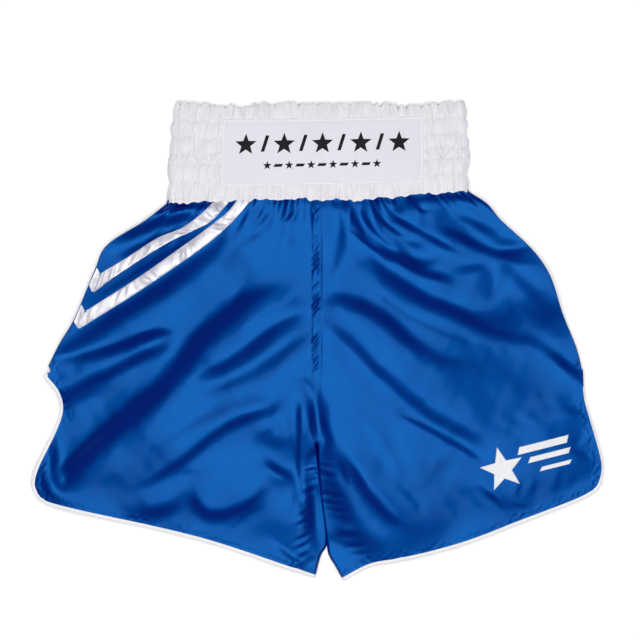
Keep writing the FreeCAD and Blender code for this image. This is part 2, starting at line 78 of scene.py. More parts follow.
# Each fold is a flank of cloth between two levels: how steep it is, half its width (or its widths to the left and to
# the right), then x and y of each point along its middle. The cloth is higher to the left of the line, as seen going
# along it, or to the right where the steepness is negative.
FOLDS = [
    # Right leg: from the band and stripes down to the side.
    (-1.7, (14, 10), -74, 140, -86, 121, -100, 111, -120, 95, -150, 73, -175, 55, -200, 40, -220, 28, -240, 15,
     -260, 2, -276, -10, -310, -34, -345, -60),
    (0.9, (5, 8), -38, 142, -60, 121, -76, 110, -92, 99, -112, 82),
    (-0.5, 1.4, -112, 78, -124, 65, -142, 43, -162, 20),
    (-1.6, (4, 8), -330, -40, -292, -23, -265, -17, -240, -10, -220, -4, -200, 3, -180, 10, -166, 12, -148, 9),
    (-0.8, (3, 6), -215, 1, -190, 9, -170, 12, -158, 6, -160, -6),
    (-1.4, 6.5, -142, 2, -168, -8, -190, -16, -210, -26, -230, -36, -250, -44, -275, -55, -315, -72),
    (-1.6, 8, -212, -42, -246, -57, -270, -66, -310, -80, -340, -92),
    (-0.35, 1.3, -164, -12, -180, -22, -200, -36, -220, -53, -240, -72, -262, -90),
    (1.5, (15, 9), -22, 44, -42, 51, -60, 53, -80, 47, -100, 31, -120, 15, -140, -6, -160, -34, -180, -54, -200, -70,
     -220, -87, -242, -106, -262, -124, -284, -144, -312, -168),
    (1.0, 4.5, -224, -92, -245, -108, -262, -122, -280, -140, -300, -162),
    (-0.6, 2.2, -14, 60, -28, 52, -40, 40, -60, 27, -84, 11),
    (-1.15, (12, 5), 8, 38, -10, 33, -22, 27, -40, 18, -60, 4, -80, -12, -100, -25, -120, -35, -150, -52),
    (0.9, (10, 7), 18, 18, -8, 6, -22, -1, -38, -13, -56, -25, -80, -38, -112, -52, -150, -66),
    (0.7, 7, -40, -54, -60, -60, -85, -68, -112, -80, -140, -95, -162, -108, -190, -124),
    (-1.05, (6.5, 3.6), -30, -60, -44, -68, -60, -77, -80, -84, -100, -93, -116, -104, -131, -116, -146, -129,
     -160, -138, -182, -152, -206, -166),
    (0.5, 3.0, -152, -149, -138, -143, -122, -142),
    (-1.2, (9, 7), -141, -146, -146, -164, -156, -178, -172, -186, -196, -188, -220, -182),
    (1.1, (4, 8), -145, -150, -138, -164, -133, -176, -121, -188, -104, -189, -88, -184, -73, -176, -61, -163,
     -52, -146),
    (0.4, 1.4, -100, -211, -86, -197, -70, -186, -52, -176),
    (1.2, 8, -70, -102, -54, -108, -40, -114, -28, -117),
    (-0.7, 4, -40, -88, -48, -94, -58, -101, -64, -112),
    (0.6, 3.0, -58, -92, -50, -80, -42, -70),
    (-2.2, (7, 4), -66, -131, -54, -135, -44, -141, -34, -147, -24, -158),
    (0.5, 3.0, -32, -60, -31, -90, -28, -112, -24, -136),
    (-0.4, 2.5, -25, -158, -27, -182, -30, -200),
    (1.3, 3.0, -20, -56, -20, -78, -20, -100, -21, -125, -20, -145, -17, -162, -14, -178, -11, -196),
    (-2.0, 5.5, -6, -44, -5, -68, -5, -90, -3, -108, -4, -124),
    (1.0, 3.0, -24, -39, -12, -43, -7, -52, -6, -68),
    (0.6, 1.8, -10, -70, -11, -88, -8, -106, -10, -120),
    (-1.9, 3.2, -54, -218, -40, -229, -26, -239, -6, -249),
    (-2.4, (5, 9), -10, -140, -8, -180, -5, -205, 0, -232),
    (1.1, 5, -26, -242, -10, -238, 6, -236),
    # The bottom corner of the right leg.
    (-2.6, (8, 5), -292, -84, -290, -114, -289, -134, -288, -150, -282, -161, -270, -163, -256, -158),
    (0.6, 1.6, -302, -140, -300, -156, -293, -168, -278, -175),
    (-0.5, 1.4, -308, -148, -304, -161, -296, -171),
    (0.5, 3.0, -286, -30, -278, -40, -260, -40),
    (0.9, 6, -276, -60, -272, -80, -276, -104),
    # By the waist, on the right leg.
    (-2.1, (7, 8), -112, 148, -138, 139, -160, 134, -180, 129, -200, 120, -215, 112, -240, 92),
    (0.65, 3.0, -140, 130, -160, 120, -182, 111, -200, 102, -222, 92),
    (0.7, 2.2, -174, 136, -164, 146, -154, 156),
    (0.8, 2.5, -162, 139, -145, 142, -128, 152),
    (0.5, 3, -92, 140, -112, 125, -140, 109, -170, 93, -200, 74, -246, 44),
    (0.9, 1.8, -90, 119, -82, 131, -75, 143, -70, 156),
    (-0.8, 2.2, -82, 122, -72, 131, -62, 141, -52, 156),
    (0.6, 2.0, -76, 116, -64, 127, -54, 139, -44, 156),
    (1.2, 1.7, -48, 123, -38, 131, -30, 137, -18, 152),
    (-0.5, 2.0, -40, 120, -28, 131, -16, 148),
    (0.55, 5, -31, 124, -29, 112, -31, 98),
    (0.4, 3.0, -12, 152, -14, 138, -19, 124),
    (1.0, 1.8, -9, 160, -8, 146, -5, 134, -6, 122),
    (0.45, 3.0, -5, 122, -14, 112, -22, 92),
    # Left leg: the long folds from the waist to the side.
    (1.5, (6, 11), 36, 112, 50, 98, 60, 89, 80, 72, 100, 58, 120, 46, 140, 38, 160, 28, 180, 15, 200, 7, 220, 2,
     240, -4, 262, -19, 281, -34, 310, -52, 345, -75),
    (1.3, (12, 12), 132, 46, 165, 32, 200, 24, 230, 12, 262, -8, 292, -30, 320, -50),
    (2.4, (20, 12), 180, 130, 198, 104, 212, 82, 228, 64, 248, 47, 276, 24, 304, 0, 326, -22),
    (1.35, (9, 9), 186, 58, 202, 50, 222, 40, 246, 24, 272, 4, 298, -18),
    (-1.1, 1.8, 28, 126, 40, 119, 50, 111, 62, 102, 76, 95),
    (-1.4, (5.5, 3.5), 62, 102, 76, 95, 90, 89, 105, 80, 120, 73, 140, 68, 158, 60),
    (-1.0, (4, 8), 184, 38, 195, 50, 200, 66, 202, 88),
    (-1.2, 5.0, 80, 106, 92, 96, 104, 89, 118, 86, 132, 89, 142, 98),
    (1.0, 4.5, 80, 126, 94, 114, 108, 106, 128, 104),
    (1.35, (2.6, 3.8), 68, 139, 82, 134, 100, 126, 120, 116, 140, 105, 160, 93),
    (-1.3, (4, 6), 120, 124, 136, 123, 150, 118, 165, 111, 180, 104, 196, 98, 212, 98, 228, 101, 250, 108),
    (-1.4, 5, 192, 96, 212, 90, 230, 87, 252, 88),
    (1.6, 5.5, 136, 149, 155, 138, 170, 131, 186, 122, 210, 114),
    (1.1, 3.5, 142, 160, 160, 151, 176, 142, 196, 130),
    (1.1, 5.5, 184, 112, 204, 109, 222, 108, 244, 112),
    (-1.0, 6.0, 144, 76, 160, 79, 175, 81, 196, 84),
    (-0.45, 2.8, 58, 60, 80, 42, 100, 28, 120, 17, 140, 8, 160, 1, 188, -8),
    (-1.2, (7, 9), -10, 38, 10, 44, 25, 47, 40, 42, 60, 34, 80, 21, 100, 3, 118, -9, 142, -20),
    (-0.75, (5, 10), 104, -2, 122, -12, 140, -20, 165, -23, 192, -25),
    (1.1, (9, 6), -6, 34, 20, 13, 35, 0, 45, -10, 60, -27, 80, -44, 100, -62, 120, -78, 140, -90, 160, -101,
     200, -122),
    (-0.95, (3.4, 2.2), 82, -77, 105, -88, 125, -98, 142, -108, 158, -117, 174, -127, 190, -136),
    (0.45, 4, 46, -80, 60, -104, 75, -125, 90, -150),
    (0.4, 6, 70, -80, 88, -108, 104, -136, 118, -168),
    (-0.5, 2.8, 84, -154, 98, -168, 109, -178, 113, -196),
    (1.6, (4, 9), 16, -112, 30, -127, 40, -139, 47, -150, 55, -163, 65, -176, 75, -187, 85, -196, 96, -203,
     106, -210),
    (1.3, 13, -6, -84, 4, -116, 12, -150, 23, -178, 38, -204, 58, -230, 82, -262),
    (1.2, 7.0, -10, -208, 10, -214, 32, -218, 56, -216),
    (0.7, 2.5, 23, -124, 30, -145, 35, -164),
    # By the waist, on the left leg.
    (0.8, 5.5, 28, 150, 27, 120, 24, 98, 17, 76, 6, 52),
    (-1.1, 2.0, 31, 164, 37, 148, 38, 134, 37, 117),
    (-1.1, 3.2, 36, 158, 38, 142, 44, 128, 52, 116, 66, 104),
    (1.3, 2.2, 44, 154, 52, 136, 62, 122, 76, 108, 92, 98),
    (-1.2, 2.2, 56, 154, 66, 138, 78, 126, 92, 116, 108, 110),
    (1.2, 2.4, 72, 154, 82, 140, 94, 131, 108, 124),
    (0.9, 3.0, 68, 156, 76, 149, 86, 146),
    (-0.8, 5.0, 78, 138, 90, 144, 104, 152),
    (0.9, 3.0, 104, 160, 107, 146, 109, 128),
    (-1.2, 1.9, 104, 156, 111, 146, 118, 142, 130, 145),
    (0.7, 3.0, 14, 156, 17, 146, 18, 137),
    (0.8, 2.5, 24, 158, 31, 149, 36, 142),
    # The side and hem of the left leg.
    (1.2, 4.5, 250, -8, 264, -20, 276, -30, 292, -41),
    (1.5, 3.0, 172, -152, 186, -166, 196, -174, 210, -190),
    (0.35, 6, 146, -146, 164, -166, 184, -184, 204, -198),
    (0.5, 6, 118, -146, 130, -140, 142, -132, 160, -130),
    (-0.7, 2.5, 226, -146, 222, -160, 216, -174),
    (-0.55, 3.5, 240, -142, 238, -158, 231, -174),
    (-0.5, 3.0, 267, -138, 265, -152, 261, -166),
    (0.7, 2.5, 210, -176, 222, -180, 236, -184),
    (-0.9, 5.5, 254, -90, 262, -79, 280, -76, 304, -88),
    (-0.65, 3.6, 272, -118, 290, -125, 312, -132),
    (0.65, 3.2, 306, -94, 294, -106, 282, -118),
    (-0.45, 6.0, 252, -178, 276, -168, 296, -156, 314, -140),
    (0.5, 3.0, 196, -92, 212, -94, 230, -98),
    (0.5, 3.0, 215, -83, 230, -87, 244, -93),
    (0.5, 3.0, 212, -66, 234, -66),
    (-0.4, 4.0, 236, -58, 256, -60, 276, -57),
    (0.6, 3.5, 286, -40, 287, -58, 290, -80),
    # The middle, from the foot of the seam to the crotch.
    (1.5, 5, 0, -34, 1, -62, 4, -82, 9, -98, 13, -110, 12, -126),
    (-1.2, 3.5, 14, -102, 4, -112, -6, -124, -16, -134),
    (0.5, 4.0, 9, -52, 12, -75, 14, -96),
]
# What the steepness and the widths of every fold are multiplied by.
STEEP = 0.35
WIDER = 1.25
# How far from a fold, in millimetres, the cloth comes back to its usual level.
LEVELLING = 90.0

# Little puckers along lines of stitching: spacing, height, reach across the line, lean, and the line.
PUCKERS = [
    (11.0, 0.8, 3.6, 0.9, (-1, 152), (-1.5, 60), (-2, -36)),
    (13.0, 0.6, 8.0, -0.4, (4, -130), (16, -172), (30, -206), (52, -242)),
    (12.0, 0.5, 7.0, 0.5, (-3, -134), (-12, -172), (-15, -206), (-17, -248)),
]

# Levels above the floor: the front cloth between folds, its edge on the back cloth, and where it goes into the band.
FRONT_BASE = 15.0
SEAT = 2.1
WAIST_LEVEL = 15.6
# The most that folds can add to the front's level, and half the thickness of the flattened band.
FOLD_LIMIT = 13.5
BAND_HALF = 9.0


def smooth_line(points, per_span=8):
    """Points along a smooth curve through a few points."""
    p = np.array(points, float)
    if len(p) < 3:
        return p[0] + (p[-1] - p[0]) * np.linspace(0, 1, per_span + 1)[:, None]
    ends = np.vstack([2 * p[0] - p[1], p, 2 * p[-1] - p[-2]])
    t = np.linspace(0, 1, per_span, endpoint=False)[:, None]
    out = []
    for i in range(len(p) - 1):
        a, b, c, d = ends[i:i + 4]
        out.append(0.5 * (2 * b + (c - a) * t + (2 * a - 5 * b + 4 * c - d) * t ** 2
                          + (3 * b - a - 3 * c + d) * t ** 3))
    return np.vstack([*out, p[-1:]])


def lengths(line):
    return np.concatenate([[0], np.cumsum(np.linalg.norm(np.diff(line, axis=0), axis=1))])


def resampled(line, count, warp=None):
    """count points evenly along a line, or where warp puts each share of its length."""
    at = lengths(line)
    share = np.linspace(0, 1, count)
    share = share if warp is None else warp(share)
    return np.stack([np.interp(share * at[-1], at, line[:, k]) for k in range(line.shape[1])], axis=1)


def outward(line, side):
    """Unit vectors square to a line, to its left for side 1 and to its right for side -1."""
    along = np.gradient(line, axis=0)
    along /= np.linalg.norm(along, axis=1)[:, None] + 1e-12
    return side * np.stack([-along[:, 1], along[:, 0]], axis=1)


def nearest(line, x, y):
    """For each point: signed distance to the line, positive to its left, and the share along it."""
    at = lengths(line)
    best = np.full(x.shape, 1e9)
    side = np.ones(x.shape)
    share = np.zeros(x.shape)
    for i in range(len(line) - 1):
        dx, dy = line[i + 1] - line[i]
        t = np.clip(((x - line[i, 0]) * dx + (y - line[i, 1]) * dy) / (dx * dx + dy * dy + 1e-12), 0, 1)
        ox, oy = x - line[i, 0] - t * dx, y - line[i, 1] - t * dy
        d = np.hypot(ox, oy)
        closer = d < best
        best = np.where(closer, d, best)
        side = np.where(closer, np.sign(dx * oy - dy * ox + 1e-15), side)
        share = np.where(closer, (at[i] + t * (at[i + 1] - at[i])) / at[-1], share)
    return best * side, share


def step(value, low, high):
    """0 up to low, 1 from high on, and smooth between them."""
    t = np.clip((value - low) / (high - low), 0, 1)
    return t * t * (3 - 2 * t)


def bump(value, middle, width):
    return np.exp(-((value - middle) / width) ** 2)


def waves(seed, count, low, high, loop=None):
    """A bumpy function of one number, about 1 high: a sum of sines with wavelengths from low to high.

    With the length of a loop, it is a function of the share of the way round, with whole numbers of waves.
    """
    r = np.random.default_rng(seed)
    size = r.uniform(low, high, count)
    k = 2 * np.pi * np.round(loop / size) if loop else 2 * np.pi / size
    phase = r.uniform(0, 2 * np.pi, count)
    return lambda s: sum(np.sin(s * a + b) for a, b in zip(k, phase)) * math.sqrt(2 / count)


def near_line(line, reach, x, y):
    """Which points lie within reach of the box round a line."""
    return ((x > line[:, 0].min() - reach) & (x < line[:, 0].max() + reach)
            & (y > line[:, 1].min() - reach) & (y < line[:, 1].max() + reach))


def flank(x, y, steep, width, *xy):
    """The slope of one fold in x and in y: square to its line, dying away to either side and towards its ends."""
    line = smooth_line(np.reshape(xy, (-1, 2)), 5)
    left, right = WIDER * np.array(width if isinstance(width, tuple) else (width, width))
    at = lengths(line)
    near = near_line(line, 4 * max(left, right), x, y)
    d, share = nearest(line, x[near], y[near])
    ends = min(0.48, (2 * (left + right) + 10) / at[-1])
    across = np.exp(-(d / np.where(d > 0, left, right)) ** 2)
    size = STEEP * steep * step(share, 0, ends) * step(1 - share, 0, ends) * across
    normal = outward(line, 1)
    slope = np.zeros((2, *x.shape))
    for k in (0, 1):
        slope[k][near] = size * np.interp(share * at[-1], at, normal[:, k])
    return slope


GRID = 1.25
GRID_X, GRID_Y = np.arange(-400, 401, GRID), np.arange(-350, 251, GRID)


def all_folds():
    """The heights on a grid whose slopes come closest to those of all folds, broad folds softened more than narrow."""
    x, y = np.meshgrid(GRID_X, GRID_Y)
    ky, kx = np.meshgrid(2 * np.pi * np.fft.fftfreq(len(GRID_Y), GRID), 2 * np.pi * np.fft.fftfreq(len(GRID_X), GRID),
                         indexing="ij")
    square = kx ** 2 + ky ** 2
    total = 0
    for low, high, spread in ((0, 2.6, 0.7), (2.6, 5, 1.1), (5, 99, 1.6)):
        alike = [fold for fold in FOLDS if low <= np.mean(fold[1]) < high]
        slope = np.fft.fft2(sum(flank(x, y, *fold) for fold in alike))
        softened = np.exp(-square * spread ** 2 / 2)
        total = total - 1j * (kx * slope[0] + ky * slope[1]) / (square + LEVELLING ** -2) * softened
    return np.fft.ifft2(total).real


FOLD_GRID = all_folds()


def fold_height(x, y):
    """The folds' height anywhere, as a smooth surface through the grid."""
    u, v = (x - GRID_X[0]) / GRID, (y - GRID_Y[0]) / GRID
    i = np.clip(np.floor(u).astype(int), 1, len(GRID_X) - 3)
    j = np.clip(np.floor(v).astype(int), 1, len(GRID_Y) - 3)
    weights = [((1 - t) ** 3 / 6, (3 * t ** 3 - 6 * t ** 2 + 4) / 6, (-3 * t ** 3 + 3 * t ** 2 + 3 * t + 1) / 6,
                t ** 3 / 6) for t in (u - i, v - j)]
    return sum(weights[0][a] * weights[1][b] * FOLD_GRID[j + b - 1, i + a - 1] for a in range(4) for b in range(4))


def gather_height(x, y):
    """Fine gathers where the cloth goes into the band: they fan out and die away below it."""
    below = np.maximum(waist_line(x) - y, 0)
    fan = x / (1 + below / 150)
    z = 0
    for seed, wave, size, reach in ((3, (6, 10), 0.5, 9), (4, (10, 18), 0.8, 20), (5, (20, 40), 1.0, 40)):
        strength = 0.5 + 0.5 * waves(seed + 20, 6, 40, 90)(x)
        z = z + size * strength * waves(seed, 14, *wave)(fan) * np.exp(-below / reach)
    return z


def pucker_height(x, y):
    z = np.zeros(x.shape)
    for number, (spacing, height, reach, lean, *points) in enumerate(PUCKERS):
        line = smooth_line(points)
        near = near_line(line, 3 * reach, x, y)
        if near.any():
            d, share = nearest(line, x[near], y[near])
            along = share * lengths(line)[-1] + d * lean
            wobble = along + 2.6 * waves(60 + number, 5, 30, 70)(along)
            size = 0.6 + 0.4 * waves(70 + number, 6, 20, 60)(along)
            fade = step(share, 0, 0.04) * step(1 - share, 0, 0.06)
            z[near] += height * size * fade * np.sin(2 * np.pi * wobble / spacing) * np.exp(-(d / reach) ** 2)
    return z


def soft_noise(x, y, seed, low, high, count=26):
    """Gentle unevenness in every direction."""
    r = np.random.default_rng(seed)
    z = np.zeros(x.shape)
    for _ in range(count):
        angle, k, phase = r.uniform(0, np.pi), 2 * np.pi / r.uniform(low, high), r.uniform(0, 2 * np.pi)
        z += np.sin((x * math.cos(angle) + y * math.sin(angle)) * k + phase)
    return z * math.sqrt(2 / count)


SIDE_LINES = {-1: smooth_line(RIGHT_SIDE), 1: smooth_line(LEFT_SIDE)}
VENT_LINES = {-1: smooth_line(RIGHT_VENT), 1: smooth_line(LEFT_VENT)}
HEM_LINES = {-1: smooth_line(RIGHT_HEM), 1: smooth_line(LEFT_HEM)}
INNER_LINES = {-1: smooth_line(RIGHT_INNER), 1: smooth_line(LEFT_INNER)}


def waist_dip(x):
    """How much lower than a straight line the waist seam lies, left of the middle."""
    return 4.5 * bump(x, 45, 55)


def waist_line(x):
    """The y of the line where the legs go into the band."""
    low, high = np.array(WAIST_ENDS)
    return low[1] + (high[1] - low[1]) * (x - low[0]) / (high[0] - low[0]) - waist_dip(x)


def away_from(line, x, y):
    return np.abs(nearest(line, x, y)[0])


def rounded(distance, radius):
    """0 at an edge and 1 further in than radius, as a quarter circle."""
    t = np.clip(distance / radius, 0, 1)
    return np.sqrt(np.maximum(1 - (1 - t) ** 2, 0))


def soft_floor(z):
    """Keeps the cloth above what it lies on, with no sharp break."""
    return np.where(z > 2, z, 2 * np.exp(np.minimum(z - 2, 0) / 2))


def front_height(x, y, side):
    """Height of the front cloth of one leg, in millimetres."""
    x, y = np.asarray(x, float), np.asarray(y, float)
    below = np.maximum(waist_line(x) - y, 0)
    z = FRONT_BASE + FOLD_LIMIT * np.tanh(fold_height(x, y) / FOLD_LIMIT) + pucker_height(x, y)
    for size, seed, wave in ((0.5, 11, (90, 190)), (0.2, 15, (38, 80)), (0.05, 12, (14, 34))):
        z = z + size * soft_noise(x, y, seed, *wave)
    # The turned-in cloth under the two rows of stitching down the middle, and the rise towards the band.
    z = z + 0.3 * np.exp(-(np.maximum(np.abs(x + 0.2) - 4.3, 0) / 1.2) ** 2) * step(y, -60, -20)
    z = z + 3.0 * np.exp(-below / 40)
    tucked = np.exp(-(below / 9) ** 2)
    z = z * (1 - tucked) + WAIST_LEVEL * tucked + 0.38 * gather_height(x, y)
    # Near the hem and the vent the cloth is a little flatter, with small puckers along the stitching.
    hem = np.minimum(away_from(HEM_LINES[side], x, y), away_from(VENT_LINES[side], x, y))
    pull = np.exp(-(hem / 50) ** 2)
    z = z * (1 - 0.15 * pull) + pull * (0.6 + 0.6 * soft_noise(x, y, 13, 60, 120, 12))
    z = z + 0.08 * np.exp(-((hem - 7) / 4.5) ** 2) * soft_noise(x, y, 14, 5, 10, 30)
    # It stays above the back cloth, and doesn't rise higher than the band beside it.
    z = 2.6 + soft_floor(z - 2.6)
    z = np.minimum(z, 19 + 0.7 * below)
    # It comes down to the back cloth at the side, and below the crotch also at the inseam.
    beside = away_from(SIDE_LINES[side], x, y)
    z = SEAT + (z - SEAT) * (0.84 + 0.16 * step(beside, 0, 60))
    edge = rounded(beside, 1.8)
    inner = rounded(away_from(INNER_LINES[side], x, y), 3)
    inner = np.where(y > CROTCH[1], np.maximum(inner, step(y, CROTCH[1], CROTCH[1] + 14)), inner)
    return SEAT + (z - SEAT) * edge * (0.15 + 0.85 * inner)


def back_height(x, y, side):
    """Height of the back cloth, which lies on the floor with low folds."""
    x, y = np.asarray(x, float), np.asarray(y, float)
    low = np.clip(1.3 + 0.45 * soft_noise(x, y, 31, 60, 140, 14), 0.7, 2.3)
    edge = rounded(np.minimum(away_from(SIDE_LINES[side], x, y), away_from(INNER_LINES[side], x, y)), 9)
    return 1.9 + (low - 1.9) * edge


def leg_height(x, y, level):
    """Front or back height of whichever leg a point is on."""
    return np.where(x < CROTCH[0], level(x, y, -1), level(x, y, 1))


# ---- meshes


def xyz(*parts):
    return np.stack(parts, axis=-1)


def mesh_piece(name, points, faces, material, replaces):
    """A named mesh in metres, from points in millimetres, riding on the one body in place of CAD nodes."""
    mesh = bpy.data.meshes.new(name)
    mesh.from_pydata((np.asarray(points, float).reshape(-1, 3) * MM).tolist(), [], [list(f) for f in faces])
    mesh.validate()
    piece = bpy.data.objects.new(name, mesh)
    bpy.context.scene.collection.objects.link(piece)
    mesh.polygons.foreach_set("use_smooth", [True] * len(mesh.polygons))
    mesh.materials.append(material)
    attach(piece, "root")
    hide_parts(*replaces)
    return piece


def grid_faces(rows, columns, wrap=False, start=0, flip=False):
    """Faces of a grid of rows x columns points, closed round its columns if wrap is set."""
    r, c = np.meshgrid(np.arange(rows - 1), np.arange(columns if wrap else columns - 1), indexing="ij")
    c2 = (c + 1) % columns
    quads = np.stack([r * columns + c, r * columns + c2, (r + 1) * columns + c2, (r + 1) * columns + c], axis=-1)
    quads = quads.reshape(-1, 4) + start
    return (quads[:, ::-1] if flip else quads).tolist()


def grid_piece(name, points, material, replaces, wrap=False, flip=False):
    """A named mesh from rows of points."""
    return mesh_piece(name, points, grid_faces(*points.shape[:2], wrap=wrap, flip=flip), material, replaces)


def to_edge(share):
    """More points by both ends of a line, so that rounded edges stay smooth."""
    return share - 0.48 * np.sin(2 * np.pi * share) / (2 * np.pi)


def filled_grid(top, bottom, left, right, rows, columns):
    """A grid of points that fills four boundary lines. Rows go from top to bottom, columns from left to right."""
    t, b = resampled(top, columns, to_edge), resampled(bottom, columns, to_edge)
    le, ri = resampled(left, rows), resampled(right, rows)
    u, v = to_edge(np.linspace(0, 1, columns))[None, :, None], np.linspace(0, 1, rows)[:, None, None]
    return ((1 - v) * t[None] + v * b[None] + (1 - u) * le[:, None] + u * ri[:, None]
            - (1 - u) * (1 - v) * t[0] - u * (1 - v) * t[-1] - (1 - u) * v * b[0] - u * v * b[-1])


def stitches(node, starts, ends, width, colour):
    """A node's stitches as thread, each a low four-sided bead from a point of starts to its point of ends."""
    starts, ends = np.asarray(starts, float), np.asarray(ends, float)
    along = ends - starts
    across = xyz(-along[:, 1], along[:, 0], 0 * along[:, 0])
    across *= width / 2 / (np.linalg.norm(across, axis=1)[:, None] + 1e-12)
    up = np.array([0, 0, width * 0.55])
    rings = []
    for share in (0.22, 0.78):
        middle = starts + along * share
        rings += [middle + across, middle + up, middle - across, middle - up]
    points = np.stack([starts, *rings, ends], axis=1)
    one = [(0, 2, 1), (0, 3, 2), (0, 4, 3), (0, 1, 4), (9, 5, 6), (9, 6, 7), (9, 7, 8), (9, 8, 5),
           (1, 2, 6, 5), (2, 3, 7, 6), (3, 4, 8, 7), (4, 1, 5, 8)]
    faces = [tuple(k + 10 * i for k in face) for i in range(len(starts)) for face in one]
    return mesh_piece(f"{node}_thread", points, faces, THREADS[colour], [node])


# How far apart stitches start, how wide the thread is, and how far its middle is above the cloth, in millimetres.
STITCH_PITCH = 3.2
THREAD_WIDTH = 0.5
THREAD_LIFT = 0.08


def stitch_ends(line, level):
    """Starts and ends of the stitches along a line on the cloth."""
    at = lengths(line)
    first = np.arange(0.3 * STITCH_PITCH, at[-1] - STITCH_PITCH, STITCH_PITCH)
    found = []
    for s in (first, first + STITCH_PITCH * 0.68):
        x, y = np.interp(s, at, line[:, 0]), np.interp(s, at, line[:, 1])
        found.append(xyz(x, y, level(x, y) + THREAD_LIFT))
    return found


def joined(parts):
    """Starts and ends of several runs of stitches as one."""
    return np.vstack([p[0] for p in parts]), np.vstack([p[1] for p in parts])


def inlay(name, outlines, place, rise, steps, dense, material, replaces, ridge=0.0):
    """Raised filled shapes. place turns points of the plan into points on the surface below them."""
    points, faces = [], []
    for outline in outlines:
        outline = np.array(outline, float)
        closed = np.vstack([outline, outline[:1]])
        count = max(12, int(lengths(closed)[-1] / dense))
        corners = np.linspace(0, 1, len(outline) + 1)
        share = np.linspace(0, 1, count, endpoint=False)
        share = np.unique(np.concatenate([share, corners[:-1]]))
        rim = xyz(*(np.interp(share, corners, closed[:, k]) for k in (0, 1)))
        middle = outline.mean(0)
        rings = []
        for t in np.linspace(0.03, 1, steps):
            flat = middle + (rim - middle) * t
            lift = rise * rounded(np.full(len(rim), 1 - t), 0.22) if t < 1 else np.full(len(rim), -0.15)
            lift = lift + ridge * np.sin(2 * np.pi * (flat[:, 0] * 0.5 + flat[:, 1] * 0.87) / 1.5) * (t < 0.98)
            on = place(flat[:, 0], flat[:, 1])
            rings.append(xyz(on[0], on[1], on[2] + lift))
        start = sum(len(p) for p in points)
        rings = np.array(rings)
        points.append(rings.reshape(-1, 3))
        faces += grid_faces(steps, len(rim), wrap=True, start=start)
        faces.append([start + k for k in range(len(rim))][::-1])
    return mesh_piece(name, np.vstack(points), faces, material, replaces)


def star(radius, x, y):
    """A five-pointed star, one point up."""
    turns = [math.pi / 2 + k * math.pi / 5 for k in range(10)]
    sizes = [radius, radius * 0.42] * 5
    return [(x + r * math.cos(a), y + r * math.sin(a)) for r, a in zip(sizes, turns)]


def slanted_bar(width, height, x, y, slant):
    """A bar whose top leans to the right."""
    w, h = width / 2, height / 2
    return [(x - w - slant, y - h), (x + w - slant, y - h), (x + w + slant, y + h), (x - w + slant, y + h)]


# ---- materials


def set_inputs(node, values):
    """Sets inputs that are named as in the node, with spaces as underscores."""
    for socket, value in values.items():
        node.inputs[socket.replace("_", " ")].default_value = value
    return node


def material(name, colour, rough, **sockets):
    """A Principled material, with any more of its sockets."""
    made = bpy.data.materials.new(name)
    made.use_nodes = True
    shader = made.node_tree.nodes["Principled BSDF"]
    return made, made.node_tree, set_inputs(shader, {"Base_Color": (*colour, 1), "Roughness": rough, **sockets})


def new_node(tree, kind, **values):
    return set_inputs(tree.nodes.new("ShaderNode" + kind), values)


def set_ramp(ramp, *stops):
    for element, (place, colour) in zip(ramp.color_ramp.elements, stops):
        element.position = place
        element.color = (*colour, 1)


def weave(tree, shader, pitch, strength, noise_scale, noise_strength, stretch):
    """Bump from two crossed sets of threads, with some unevenness."""
    link = tree.links.new
    where = new_node(tree, "TexCoord")
    threads = []
    for direction in ("X", "Y"):
        threads.append(new_node(tree, "TexWave", Scale=0.314 / pitch, Distortion=1.2, Detail=1, Detail_Scale=3))
        threads[-1].bands_direction = direction
        link(where.outputs["Object"], threads[-1].inputs["Vector"])
    crossed = new_node(tree, "Math")
    crossed.operation = "MULTIPLY"
    for thread, socket in zip(threads, crossed.inputs):
        link(thread.outputs["Fac"], socket)
    fine = new_node(tree, "Bump", Strength=strength, Distance=0.0002)
    link(crossed.outputs[0], fine.inputs["Height"])
    drawn = new_node(tree, "Mapping", Scale=(1, 1 / stretch, 1))
    link(where.outputs["Object"], drawn.inputs["Vector"])
    noise = new_node(tree, "TexNoise", Scale=noise_scale, Detail=3)
    link(drawn.outputs["Vector"], noise.inputs["Vector"])
    rough = new_node(tree, "Bump", Strength=noise_strength, Distance=0.0006)
    link(noise.outputs["Fac"], rough.inputs["Height"])
    link(fine.outputs["Normal"], rough.inputs["Normal"])
    link(rough.outputs["Normal"], shader.inputs["Normal"])
    return where


def mottled(tree, shader, where, low, high, scale):
    """Variation of colour over the cloth, from low to high: a slight tone for most cloths, painted shade on the stripe
    tape.
    """
    noise = new_node(tree, "TexNoise", Scale=scale, Detail=4)
    tree.links.new(where.outputs["Object"], noise.inputs["Vector"])
    ramp = new_node(tree, "ValToRGB")
    set_ramp(ramp, (0.3, low), (0.7, high))
    tree.links.new(noise.outputs["Fac"], ramp.inputs["Fac"])
    tree.links.new(ramp.outputs["Color"], shader.inputs["Base Color"])


def cloth_material(name, low, high, rough, pitch, strength, scale, noise_strength, noise_scale=260, stretch=1.0,
                   **sockets):
    """Woven cloth, mottled from one colour to another. pitch is its threads' spacing, in metres."""
    made, tree, shader = material(name, high, rough, **sockets)
    where = weave(tree, shader, pitch, strength, noise_scale, noise_strength, stretch)
    mottled(tree, shader, where, low, high, scale)
    return made


